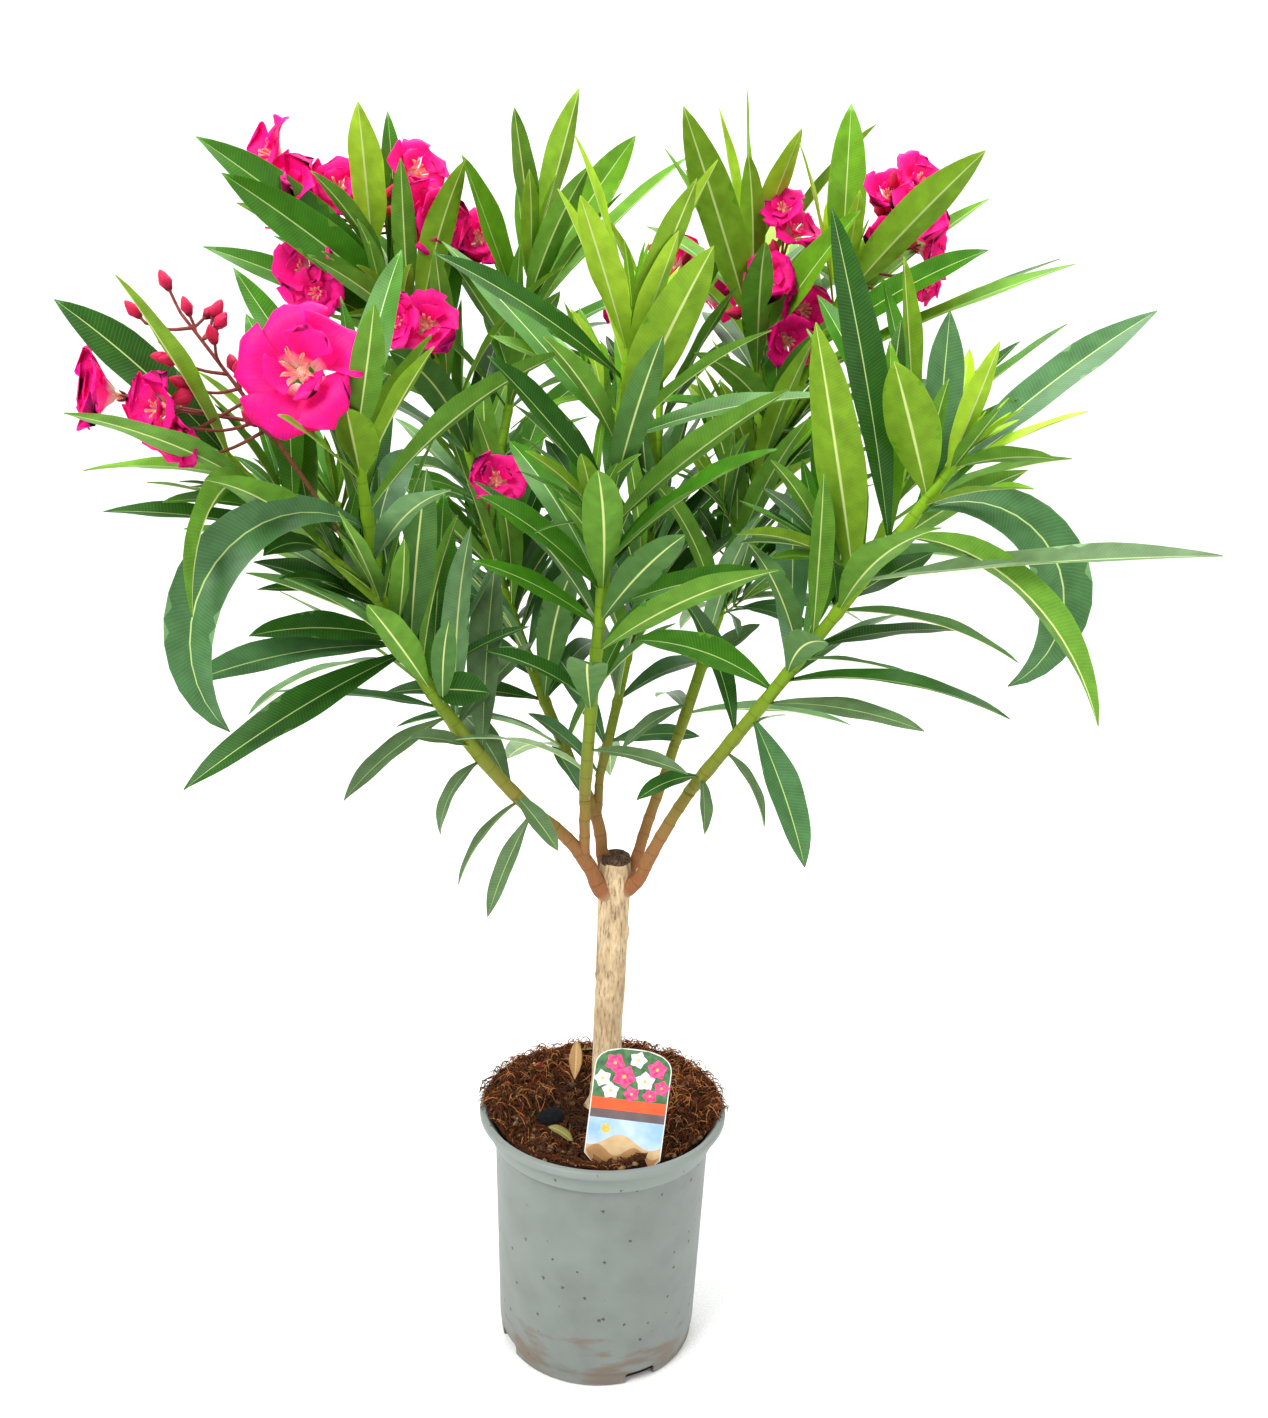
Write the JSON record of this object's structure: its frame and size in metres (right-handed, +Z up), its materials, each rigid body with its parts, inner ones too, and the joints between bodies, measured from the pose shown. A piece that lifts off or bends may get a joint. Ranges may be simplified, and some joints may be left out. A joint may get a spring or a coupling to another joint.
{
  "type": "potted oleander",
  "caption": "Young oleander trained on one short trunk in a round nursery pot, with leafy forked shoots, pink blossom at the tips and a plain plant label.",
  "frame": {"origin": "centre of the pot's flat underside", "axes": "+Z up the trunk, -Y towards the viewer, where the label stands, +X to the viewer's right"},
  "size_m": [0.7147, 0.5351, 1.0102],
  "materials": {
    "pot": "matt moulded sage-grey plastic, dusty",
    "soil": "loose fibrous brown potting mix",
    "label": "thin printed plastic card",
    "bark": "pale tan bark, browner on the boughs",
    "foliage": "leathery green leaves with pink blossom"
  },
  "bodies": {
    "root": {"pot": "pot", "soil": "soil", "label": "label", "trunk": "bark", "bough_left": "bark", "bough_centre": "bark", "bough_back_left": "bark", "bough_back": "bark", "bough_back_right": "bark", "bough_right": "bark", "foliage_left": "foliage", "foliage_centre": "foliage", "foliage_back_left": "foliage", "foliage_back": "foliage", "foliage_back_right": "foliage", "foliage_right": "foliage"}
  },
  "joints": []
}
